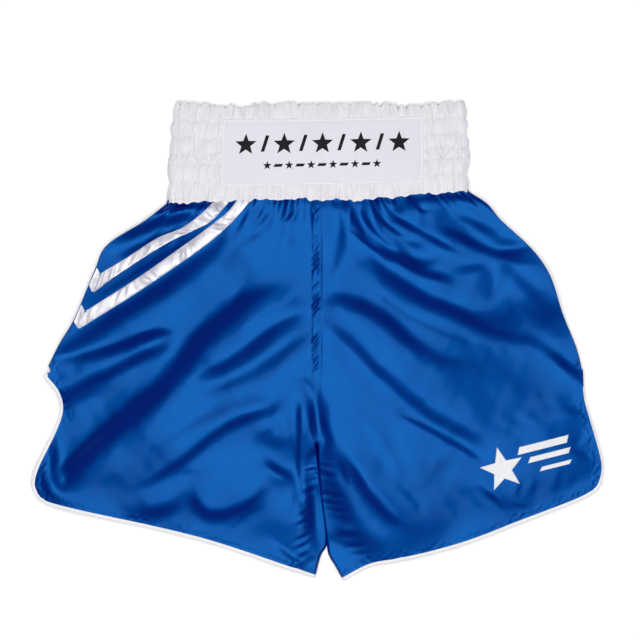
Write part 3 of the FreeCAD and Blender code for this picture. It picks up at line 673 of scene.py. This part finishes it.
BLUE_SATIN = cloth_material("blue_satin", (0.0001, 0.0024, 0.110), (0.0002, 0.0034, 0.126), 0.42, 0.0006, 0.04, 30,
                            0.045, 900, 8.0, IOR=1.8, Specular_IOR_Level=0.51, Specular_Tint=(0.004, 0.325, 1.0, 1),
                            Coat_Weight=0.018, Coat_Roughness=0.10)
WHITE_SATIN = cloth_material("white_satin", (0.645, 0.625, 0.675), (0.69, 0.67, 0.715), 0.5, 0.0006, 0.12, 60, 0.2)
# The stripe tape is mottled from its own white down to a lilac grey, in patches about a centimetre across: the grey
# patches are painted shade, standing in for the shade of the tape's cross wrinkles.
STRIPE_SATIN_PAINTED_SHADE = cloth_material("stripe_satin_painted_shade", (0.38, 0.37, 0.46), (0.66, 0.65, 0.70), 0.34, 0.0005, 0.08, 95, 0.12,
                              IOR=1.8, Specular_IOR_Level=0.5)
BINDING_SATIN = cloth_material("binding_satin", (0.72, 0.71, 0.75), (0.77, 0.76, 0.79), 0.42, 0.0005, 0.1, 60, 0.2)
PATCH_CLOTH = cloth_material("patch_cloth", (0.585, 0.565, 0.635), (0.605, 0.585, 0.655), 0.45, 0.0005, 0.10, 80, 0.04)
PATCH_EDGE = cloth_material("patch_edge", (0.70, 0.70, 0.74), (0.74, 0.74, 0.77), 0.5, 0.0004, 0.3, 80, 0.1)
PRINT_BLACK = cloth_material("print_black", (0.004, 0.004, 0.006), (0.009, 0.009, 0.012), 0.6, 0.0005, 0.1, 90, 0.05,
                             Specular_IOR_Level=0.1)
EMBROIDERY = cloth_material("embroidery", (0.70, 0.70, 0.74), (0.76, 0.76, 0.79), 0.4, 0.00045, 0.4, 120, 0.2)
ELASTIC = cloth_material("elastic_web", (0.70, 0.69, 0.66), (0.80, 0.79, 0.76), 0.75, 0.0012, 0.5, 90, 0.3)
LABEL = cloth_material("size_label_cloth", (0.84, 0.84, 0.84), (0.9, 0.9, 0.9), 0.5, 0.0004, 0.3, 90, 0.1)
THREADS = {"white": cloth_material("thread_white", (0.66, 0.65, 0.70), (0.72, 0.71, 0.75), 0.5, 0.0003, 0.5, 300, 0.3),
           "blue": cloth_material("thread_blue", (0.001, 0.02, 0.16), (0.002, 0.03, 0.20), 0.5, 0.0003, 0.5, 300, 0.3,
                                  Specular_Tint=(0.2, 0.5, 1.0, 1))}

# ---- panels

UNDER_BAND = 5.0


def panel(name, side, rows, columns, height, replaces):
    ends = np.array(WAIST_ENDS[0] if side < 0 else WAIST_ENDS[1], float)
    x = np.linspace(ends[0] - side * 4, CROTCH[0], 30)
    top = xyz(x, waist_line(x) + UNDER_BAND)
    outer = np.vstack([top[:1], SIDE_LINES[side], VENT_LINES[side][1:]])
    inner = np.vstack([top[-1:], INNER_LINES[side]])
    plan = filled_grid(top, HEM_LINES[side], outer, inner, rows, columns)
    x, y = plan[..., 0], plan[..., 1]
    return grid_piece(name, xyz(x, y, height(x, y, side)), BLUE_SATIN, replaces, flip=side < 0)


FRONT_GRID = ((360, 280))
BACK_GRID = (110, 90)
LEGS = ((-1, "right"), (1, "left"))
right_front, left_front = (panel(f"{leg}_front_panel_cloth", side, *FRONT_GRID, front_height,
                                 [f"{leg}_front_panel", f"{leg}_side_seam", f"{leg}_inseam"]) for side, leg in LEGS)
right_back, left_back = (panel(f"{leg}_back_panel_cloth", side, *BACK_GRID, back_height, [f"{leg}_back_panel"])
                         for side, leg in LEGS)

# ---- stripes

# The upper and lower edge of each stripe as it lies on the front, from the band to the side, then the two
# points where it has turned back round the side.
UPPER_STRIPE = (((-108, 160), (-125.3, 141.7), (-148.9, 124.7), (-176.4, 113.4), (-207.9, 92.7), (-238.2, 74.3)),
                ((-91, 160), (-115.1, 133), (-137.1, 121.2), (-168.5, 105.9), (-218.8, 73.4), (-246.2, 52.8)),
                ((-241.8, 80.9), (-250.4, 61.6)))
LOWER_STRIPE = (((-85, 160), (-97.8, 142.5), (-121.4, 123.6), (-152.8, 100.8), (-193.6, 71.7), (-239.9, 42.2),
                 (-254.6, 33)),
                ((-69, 160), (-90, 134.6), (-117.5, 109.5), (-159.1, 79.6), (-202, 50.7), (-239.9, 27.1),
                 (-261.8, 13.6)),
                ((-258.6, 40.6), (-266.9, 21.7)))
STRIPE_LIFT = 0.45


def stripe_front(node, shape, seed):
    """A sewn satin tape with soft cross wrinkles, mitred where it turns up at the side."""
    upper, lower = (resampled(smooth_line(edge), 240) for edge in shape[:2])
    turned = [np.linspace(edge[-1], end, 22)[1:] for edge, end in zip((upper, lower), np.array(shape[2], float))]
    upper, lower = np.vstack([upper, turned[0]]), np.vstack([lower, turned[1]])
    across = np.linspace(0, 1, 15)[:, None]
    plan = upper[None] * (1 - across[..., None]) + lower[None] * across[..., None]
    x, y = plan[..., 0], plan[..., 1]
    along = lengths((upper + lower) / 2)[None, :]
    lean = along + 5 * waves(seed, 3, 60, 120)(along) * (across - 0.5)
    wrinkle = waves(seed + 1, 9, 11, 26)(lean) * (0.6 + 0.4 * waves(seed + 2, 5, 30, 80)(along))
    mitre = along[0, 239]
    wrinkle = wrinkle * np.sin(np.pi * across) ** 0.7 - 0.5 * bump(along, mitre, 1.2)
    edges = 0.35 * np.minimum(bump(across, 0, 0.06) + bump(across, 1, 0.06), 1)
    z = front_height(x, y, -1) + STRIPE_LIFT + np.maximum(wrinkle, -0.4) * step(along, 3, 12) - edges
    return grid_piece(f"{node}_tape", xyz(x, y, z), STRIPE_SATIN_PAINTED_SHADE, [node])


def stripe_back(node, shape):
    """The same tape on the back cloth, under the front, going back up to the band."""
    upper, lower = (resampled(smooth_line(edge), 160) for edge in shape[:2])
    across = np.linspace(0, 1, 5)[:, None, None]
    plan = upper[None] * (1 - across) + lower[None] * across
    x, y = plan[..., 0], plan[..., 1]
    z = np.maximum(back_height(x, y, -1) - 0.4, 0.2)
    return grid_piece(f"{node}_tape", xyz(x, y, z), STRIPE_SATIN_PAINTED_SHADE, [node], flip=True)


upper_stripe = stripe_front("upper_stripe_front", UPPER_STRIPE, 201)
lower_stripe = stripe_front("lower_stripe_front", LOWER_STRIPE, 221)
upper_stripe_under = stripe_back("upper_stripe_back", UPPER_STRIPE)
lower_stripe_under = stripe_back("lower_stripe_back", LOWER_STRIPE)

# ---- bindings

# How far the tape reaches in from the edge of the cloth and out past it, in millimetres.
BINDING_IN = 2.7
BINDING_PROUD = 1.0
# Where the tape's end laps over its start: share along the binding of each leg.
BINDING_JOIN = {-1: 0.955, 1: 0.835}


def binding(node, side, level):
    """Satin tape folded over the edge of a panel's vent and hem."""
    line = resampled(np.vstack([VENT_LINES[side][12:], HEM_LINES[side][1:]]), 460)
    normal = outward(line, side)
    share = np.linspace(0, 1, len(line))
    # It shows only a little beside the vent on the front of the left leg.
    shown = step(share, 0.20, 0.30) if side > 0 and level is front_height else np.ones(len(line))
    inset = BINDING_IN * (0.25 + 0.75 * shown)
    lap = bump(share, BINDING_JOIN[side], 0.012)
    profile = ((-1.0, 0.15), (-0.92, 0.5), (-0.55, 0.72), (-0.1, 0.62), (0.6, 0.4), (1.0, -0.1), (0.6, -0.6),
               (-0.2, -0.75), (-0.95, -0.65))
    rows = []
    for out, up in profile:
        reach = np.where(out < 0, out * (inset + 0.5 * lap), out * BINDING_PROUD)
        place = line + normal * reach[:, None]
        inside = line - normal * np.maximum(-reach, 0.4)[:, None]
        z = level(inside[:, 0], inside[:, 1], side) + up * (1 + 0.5 * lap)
        puckers = 0.10 * waves(301 + side, 14, 4, 9)(share * 620) * (up > 0)
        rows.append(xyz(place[:, 0], place[:, 1], np.maximum(z + puckers, 0.05)))
    return grid_piece(f"{node}_tape", np.array(rows), BINDING_SATIN, [node], flip=side < 0)


bindings = {(leg, face): binding(f"{leg}_{face}_binding", side, level)
            for side, leg in LEGS for face, level in (("front", front_height), ("back", back_height))}

# ---- waistband

# How high up the band the rows of stitching are, as shares, and how far the casing puffs out between them.
STITCH_ROWS = (0.20, 0.37, 0.49, 0.65, 0.83)
CHANNEL_PUFF = (0.8, 1.1, 0.7, 1.1, 1.1, 0.8)
# The share of each face that is flat, before its rounded end; the way round the band; and how far in its lining is.
FLAT_SHARE = 0.917
LOOP_LENGTH = 686.0
LINING_INSET = 3.6
# How far the ends stand out from a straight line, from the bottom of the band to its top.
END_HEIGHTS = (0, 0.10, 0.19, 0.30, 0.40, 0.48, 0.58, 0.65, 0.75, 0.83, 0.92, 1.0)
END_BULGES = (-1.2, 0.4, -2.4, 0.4, 2.0, 0.4, 0.6, -0.8, 1.2, -0.4, 0.6, -1.6)
# The patch's corners: bottom left, bottom right, top right, top left.
PATCH_CORNERS = np.array([(-106.2, 169.9), (116.0, 174.3), (116.4, 246.4), (-104.0, 242.6)])
PATCH_SIZE = (221.5, 72.0)
PATCH_LEVEL = 2 * BAND_HALF + 0.9


def band_plan_drop(x, v):
    """How much lower than a straight line the band lies, in the middle of its bottom and along its ruffle."""
    top = 5.0 * bump(x, -92, 34) + 5.0 * bump(x, 100, 34) + 2.0 * bump(x, 5, 60)
    return waist_dip(x) * (1 - v) + top * v ** 2


def band_surface(s, v, out):
    """Points on the flattened loop of the band. s goes round from 0 to 1, v up from 0 to 1, out is outward."""
    s, v, out = np.broadcast_arrays(s, v, out)
    corners = np.array([BAND_BOTTOM, BAND_TOP])
    left = corners[0, 0] + (corners[1, 0] - corners[0, 0]) * v[..., None]
    right = corners[0, 1] + (corners[1, 1] - corners[0, 1]) * v[..., None]
    half = (s % 0.5) * 2
    front = (s % 1) < 0.5
    across = np.clip(half / FLAT_SHARE, 0, 1)
    angle = np.pi / 2 - np.clip((half - FLAT_SHARE) / (1 - FLAT_SHARE), 0, 1) * np.pi
    start, end = np.where(front[..., None], left, right), np.where(front[..., None], right, left)
    plan = start + (end - start) * across[..., None]
    along = end - start
    along = along / np.linalg.norm(along, axis=-1)[..., None]
    radius = BAND_HALF + out
    turned = across >= 1
    stand = radius + np.interp(v, END_HEIGHTS, END_BULGES)
    reach = stand * np.cos(angle) * turned
    height = np.where(turned, np.sin(angle), 1.0) * np.where(front, 1.0, -1.0)
    drop = band_plan_drop(plan[..., 0], np.clip(v, 0, 1))
    return xyz(plan[..., 0] + along[..., 0] * reach, plan[..., 1] + along[..., 1] * reach - drop,
               np.maximum(BAND_HALF + height * radius, 0.1 + 0.1 * out))


def on_patch(u, w):
    """Plan place on the patch: u and w in millimetres from its middle."""
    a, b = np.asarray(u) / PATCH_SIZE[0] + 0.5, np.asarray(w) / PATCH_SIZE[1] + 0.5
    c = PATCH_CORNERS
    return [(1 - a) * (1 - b) * c[0, k] + a * (1 - b) * c[1, k] + a * b * c[2, k] + (1 - a) * b * c[3, k]
            for k in (0, 1)]


def inside_patch(x, y):
    """1 well inside the label patch and 0 outside it."""
    margin = 2.0
    middle = PATCH_CORNERS.mean(0)
    along = (PATCH_CORNERS[1] - PATCH_CORNERS[0]) / np.linalg.norm(PATCH_CORNERS[1] - PATCH_CORNERS[0])
    dx, dy = x - middle[0], y - middle[1]
    u, w = dx * along[0] + dy * along[1], -dx * along[1] + dy * along[0]
    return (step(PATCH_SIZE[0] / 2 - np.abs(u), -margin, margin)
            * step(PATCH_SIZE[1] / 2 - np.abs(w), -margin, margin))


def periodic(seed, count, low, high):
    """Waves round the band."""
    return waves(seed, count, low, high, LOOP_LENGTH)


def crumple(seed, count, across, along, s, v):
    """Waves over the band: wavelengths round it, and how long they run up it, both in millimetres."""
    r = np.random.default_rng(seed)
    turns = 2 * np.pi * np.round(LOOP_LENGTH / r.uniform(*across, count))
    rise = 2 * np.pi * 108 / r.uniform(*along, count) * r.choice([-1, 1], count)
    phase = r.uniform(0, 2 * np.pi, count)
    return sum(np.sin(a * s + b * v + c) for a, b, c in zip(turns, rise, phase)) * math.sqrt(2 / count)


def grooved(n):
    """Turns waves into soft ridges with narrow valleys."""
    return 0.45 * n - 0.9 * np.exp(-(n / 0.5) ** 2)


def row_height(k, s):
    """Where a row of stitching runs, which isn't quite straight on gathered cloth."""
    return STITCH_ROWS[k] + 0.006 * periodic(181 + k, 8, 14, 40)(s) + 0.007 * periodic(191 + k, 5, 60, 200)(s)


def casing_bulge(s, v):
    """How far the gathered casing stands out from its plain loop, in millimetres."""
    s, v = np.broadcast_arrays(s, v)
    edges = [np.full(s.shape, -0.02), *(row_height(k, s) for k in range(len(STITCH_ROWS))), np.full(s.shape, 1.0)]
    bulge = np.full(s.shape, -0.6)
    long_folds = 0.30 * crumple(101, 16, (9, 22), (60, 200), s, v)
    for k, puff in enumerate(CHANNEL_PUFF):
        low, high = edges[k], edges[k + 1]
        share = np.clip((v - low) / (high - low), 0, 1)
        here = (v >= low) & (v < high + (k == len(CHANNEL_PUFF) - 1))
        arch = np.sin(np.pi * share) ** 0.6
        if k == 2:
            wrinkle = 0.62 * grooved(crumple(112, 18, (5, 11), (9, 24), s, v))
        else:
            wrinkle = 0.42 * grooved(crumple(110 + k, 18, (4, 9), (24, 90), s, v)) * (0.35 + 0.65 * arch)
        tuck = 0.22 * (1 - arch) * periodic(130 + k, 12, 3.5, 7)(s)
        bulge = np.where(here, puff * arch * (1 + 0.2 * periodic(170 + k, 8, 12, 40)(s)) - 0.7 + wrinkle + tuck, bulge)
    ruffle = step(v, 0.84, 1.0)
    return bulge + long_folds + ruffle * (0.7 * periodic(141, 14, 9, 20)(s) - 0.3)


def uncovered_bulge(s, v, bulge):
    """The casing lies flat under the patch."""
    flat = band_surface(s, v, 0.0)
    covered = inside_patch(flat[..., 0], flat[..., 1]) * (flat[..., 2] > BAND_HALF)
    return bulge * (1 - 0.85 * covered) - 0.4 * covered


def waistband_cloth():
    columns = 1200
    s = np.linspace(0, 1, columns, endpoint=False)[None, :]
    v = np.linspace(-0.012, 1, 100)[:, None]
    bulge = uncovered_bulge(s, v, casing_bulge(s, v))
    ragged = 1 + (0.011 * periodic(151, 16, 5, 14)(s) + 0.009 * periodic(152, 10, 16, 40)(s)) * step(v, 0.8, 1.0)
    hem_wave = (0.005 * periodic(153, 14, 7, 18)(s) + 0.006 * periodic(154, 8, 20, 50)(s)) * (1 - step(v, 0, 0.12))
    rows = [band_surface(s, v * ragged - hem_wave, bulge)]
    edge = ragged[-1:]
    for lift, inset in ((0.006, 0.5), (0.009, 1.3), (0.006, 2.3)):
        rows.append(band_surface(s, edge + lift, bulge[-1:] - inset))
    down = np.linspace(0.985, 0.0, 40)[:, None]
    lining = -LINING_INSET - 0.25 + 0.35 * grooved(crumple(160, 16, (6, 12), (40, 160), s, down))
    rows.append(band_surface(s, down * (1 + (edge - 1) * step(down, 0.8, 1.0)), lining))
    return grid_piece("waistband_casing_satin", np.concatenate(rows, axis=0), WHITE_SATIN,
                      ["waistband_casing"], wrap=True)


waistband = waistband_cloth()


def band_stitches(height, pitch, lift):
    """Starts and ends of stitches round the band, at a height up it that may vary round it."""
    count = int(LOOP_LENGTH / pitch)
    s = np.arange(count) / count
    found = []
    for at in (s, s + 0.62 / count):
        v = height(at)
        found.append(band_surface(at, v, uncovered_bulge(at, v, casing_bulge(at, v)) + lift))
    return found


rows = joined([band_stitches(lambda s, k=k: row_height(k, s), 3.4, 0.12) for k in range(len(STITCH_ROWS))])
channel_rows = stitches("channel_stitching", *rows, 0.55, "white")
seam_row = stitches("waist_seam_stitching", *band_stitches(lambda s: 0.022 + 0 * s, STITCH_PITCH, 0.14), 0.55, "white")

# ---- patch


def patch_level(u, w):
    """Height of the patch's cloth, which is nearly flat and turns down at its edges."""
    edge = np.minimum(PATCH_SIZE[0] / 2 - np.abs(u), PATCH_SIZE[1] / 2 - np.abs(w))
    return PATCH_LEVEL + 0.22 * soft_noise(u, w, 401, 50, 130, 12) - 0.35 * np.exp(-np.maximum(edge, 0) / 2.5)


def patch_place(u, w):
    x, y = on_patch(u, w)
    return x, y, patch_level(np.asarray(u, float), np.asarray(w, float))


def patch_cloth():
    u = np.linspace(-0.5, 0.5, 120)[None, :] * PATCH_SIZE[0]
    w = np.linspace(-0.5, 0.5, 44)[:, None] * PATCH_SIZE[1]
    u, w = np.broadcast_arrays(u, w)
    return grid_piece("label_patch_cloth", xyz(*patch_place(u, w)), PATCH_CLOTH, ["label_patch"])


def round_patch(inset, per_mm=0.7):
    """Points round the patch, this far in from its edge."""
    half = np.array(PATCH_SIZE) / 2 - inset
    corners = np.array([(-1, -1), (1, -1), (1, 1), (-1, 1), (-1, -1)], float)
    counts = [int(PATCH_SIZE[0] * per_mm), int(PATCH_SIZE[1] * per_mm)] * 2
    sides = [np.linspace(a, b, n, endpoint=False) for a, b, n in zip(corners, corners[1:], counts)]
    return np.vstack(sides) * half


def patch_border():
    rings = []
    for inset, up in ((-0.3, -1.1), (-0.2, 0.0), (0.15, 0.4), (0.8, 0.55), (2.2, 0.52), (2.8, 0.3), (3.0, -0.05)):
        around = round_patch(inset)
        x, y, z = patch_place(around[:, 0], around[:, 1])
        rings.append(xyz(x, y, z + up))
    return grid_piece("label_border_tape", np.array(rings), PATCH_EDGE, ["label_border"], wrap=True)


def patch_stitches():
    around = round_patch(1.5, 0.36)
    ends = around + (np.roll(around, -1, axis=0) - around) * 0.62
    lift = np.array([0, 0, 0.56])
    start, end = (xyz(*patch_place(p[:, 0], p[:, 1])) + lift for p in (around, ends))
    return stitches("label_stitching", start, end, THREAD_WIDTH, "white")


patch = patch_cloth()
border = patch_border()
patch_row = patch_stitches()
shapes = [star(14.0, 42 * (i - 2), 8.5) for i in range(5)]
shapes += [slanted_bar(4.4, 20.0, 42 * (i - 1.5), 9.5, 3.0) for i in range(4)]
for i in range(-5, 6):
    shapes.append(star(5.6, 12 * i, -14.5) if i % 2 else slanted_bar(10.0, 3.6, 12 * i, -14.5, 1.0))
motif = inlay("label_motif_print", shapes, patch_place, 0.16, 5, 1.5, PRINT_BLACK, ["label_motif"])

# ---- emblem

EMBLEM_CENTRE = (228.0, -132.0)
EMBLEM_TILT = math.radians(14)


def emblem_place(u, w):
    x = EMBLEM_CENTRE[0] + u * math.cos(EMBLEM_TILT) - w * math.sin(EMBLEM_TILT)
    y = EMBLEM_CENTRE[1] + u * math.sin(EMBLEM_TILT) + w * math.cos(EMBLEM_TILT)
    return x, y, front_height(x, y, 1) + 0.2


shapes = [star(25.0, -26.0, -2.0)]
shapes += [slanted_bar(width, height, 24 + 4 * i, 13 - 12.5 * i, 2.0)
           for i, (width, height) in enumerate(((56, 8), (46, 6), (34, 4.4)))]
emblem = inlay("leg_emblem_embroidery", shapes, emblem_place, 0.7, 26, 0.6, EMBROIDERY,
               ["leg_emblem"], ridge=0.07)

# ---- seam stitches

INSEAMS = {-1: ((-3, -134), (-11, -170), (-14, -205), (-16, -248)), 1: ((5, -134), (17, -174), (31, -207), (53, -243))}
HEM_INSET = 6.5


def rise_rows(node, level):
    runs = []
    for x in (-4.3, 3.9):
        line = xyz(np.full(120, x), np.linspace(155, -112, 120))
        runs.append(stitch_ends(line, lambda a, b: leg_height(a, b, level)))
    return stitches(node, *joined(runs), THREAD_WIDTH, "blue")


front_rise = rise_rows("front_rise_stitching", front_height)
back_rise = rise_rows("back_rise_stitching", back_height)
for side, leg in LEGS:
    line = resampled(smooth_line(INSEAMS[side]), 80)
    runs = [stitch_ends(line + outward(line, 1) * offset, lambda a, b: front_height(a, b, side))
            for offset in (-1.2, 1.2)]
    inseam = stitches(f"{leg}_inseam_stitching", *joined(runs), THREAD_WIDTH, "blue")
    line = resampled(np.vstack([VENT_LINES[side][20:], HEM_LINES[side][1:]]), 300)
    line = line + outward(line, -side) * HEM_INSET
    runs = [stitch_ends(line, lambda a, b: level(a, b, side)) for level in (front_height, back_height)]
    hem = stitches(f"{leg}_hem_stitching", *joined(runs), THREAD_WIDTH, "blue")
    # A bartack: a close zigzag across the top of the vent.
    low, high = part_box(f"{leg}_vent_bartack")
    middle = np.array([(low.x + high.x) / 2, (low.y + high.y) / 2]) / MM
    zigzag = np.array([(middle[0] + 0.9 * (-1) ** k, middle[1] - 3.6 + 0.45 * k) for k in range(17)])
    ends = [xyz(p[:, 0], p[:, 1], level(p[:, 0], p[:, 1], side) + 0.2)
            for level in (front_height, back_height) for p in (zigzag[:-1], zigzag[1:])]
    bartack = stitches(f"{leg}_vent_bartack", np.vstack(ends[::2]), np.vstack(ends[1::2]), 0.6, "blue")

# ---- inside the band

low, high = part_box("size_label")
u, w = np.broadcast_arrays(np.linspace(0, 1, 24)[None, :], np.linspace(0, 1, 20)[:, None])
label_points = xyz((low.x + (high.x - low.x) * u) / MM, (low.y + (high.y - low.y) * w) / MM,
                   low.z / MM + 0.3 + 1.6 * (1 - w) ** 2 + 0.15 * np.sin(9 * u))
size_label = grid_piece("size_label_cloth", label_points, LABEL, ["size_label"])
for number in range(1, 5):
    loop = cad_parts[f"elastic_loop_{number}"]
    loop.data.materials.clear()
    loop.data.materials.append(ELASTIC)

# ---- stage

# The view from straight above: how much is in it from side to side, and the middle of it.
VIEW_WIDTH = 704.0
VIEW_MIDDLE = (3.0, 23.6)
LENS, SENSOR = 90, 36
# The floor and the one overhead light, in metres.
FLOOR_HALF, FLOOR_LEVEL = 6, -0.0005
LIGHT_SIZE, LIGHT_PLACE, LIGHT_WATTS = 1.5, (0.0, -0.03, 2.4), 64.5

scene = bpy.context.scene
camera_data = bpy.data.cameras.new("camera")
camera_data.lens = LENS
camera_data.sensor_width = SENSOR
camera = bpy.data.objects.new("camera", camera_data)
camera.location = (VIEW_MIDDLE[0] * MM, VIEW_MIDDLE[1] * MM, (VIEW_WIDTH * LENS / SENSOR + 10) * MM)
scene.collection.objects.link(camera)
scene.camera = camera

floor_mesh = bpy.data.meshes.new("floor")
floor_mesh.from_pydata([(a * FLOOR_HALF, b * FLOOR_HALF, FLOOR_LEVEL) for a, b in ((-1, -1), (1, -1), (1, 1), (-1, 1))],
                       [], [(0, 1, 2, 3)])
floor = bpy.data.objects.new("floor", floor_mesh)
floor_mesh.materials.append(material("floor_white", (0.96, 0.96, 0.96), 0.9)[0])
scene.collection.objects.link(floor)

world = bpy.data.worlds.new("studio")
world.use_nodes = True
sky = world.node_tree
direction = new_node(sky, "TexCoord")
upward = new_node(sky, "SeparateXYZ")
glow = new_node(sky, "ValToRGB")
# Dark above and bright near the horizon, as a room with white walls round one overhead light.
set_ramp(glow, (0.18, (1.0, 1.0, 1.0)), (0.45, (0.025, 0.025, 0.025)))
sky.links.new(direction.outputs["Generated"], upward.inputs["Vector"])
sky.links.new(upward.outputs["Z"], glow.inputs["Fac"])
sky.links.new(glow.outputs["Color"], sky.nodes["Background"].inputs["Color"])
sky.nodes["Background"].inputs["Strength"].default_value = 1.15
scene.world = world

light_data = bpy.data.lights.new("overhead", "AREA")
light_data.shape = "SQUARE"
light_data.size = LIGHT_SIZE
light_data.energy = LIGHT_WATTS
light = bpy.data.objects.new("overhead", light_data)
light.location = LIGHT_PLACE
scene.collection.objects.link(light)

scene.view_settings.view_transform = "Standard"
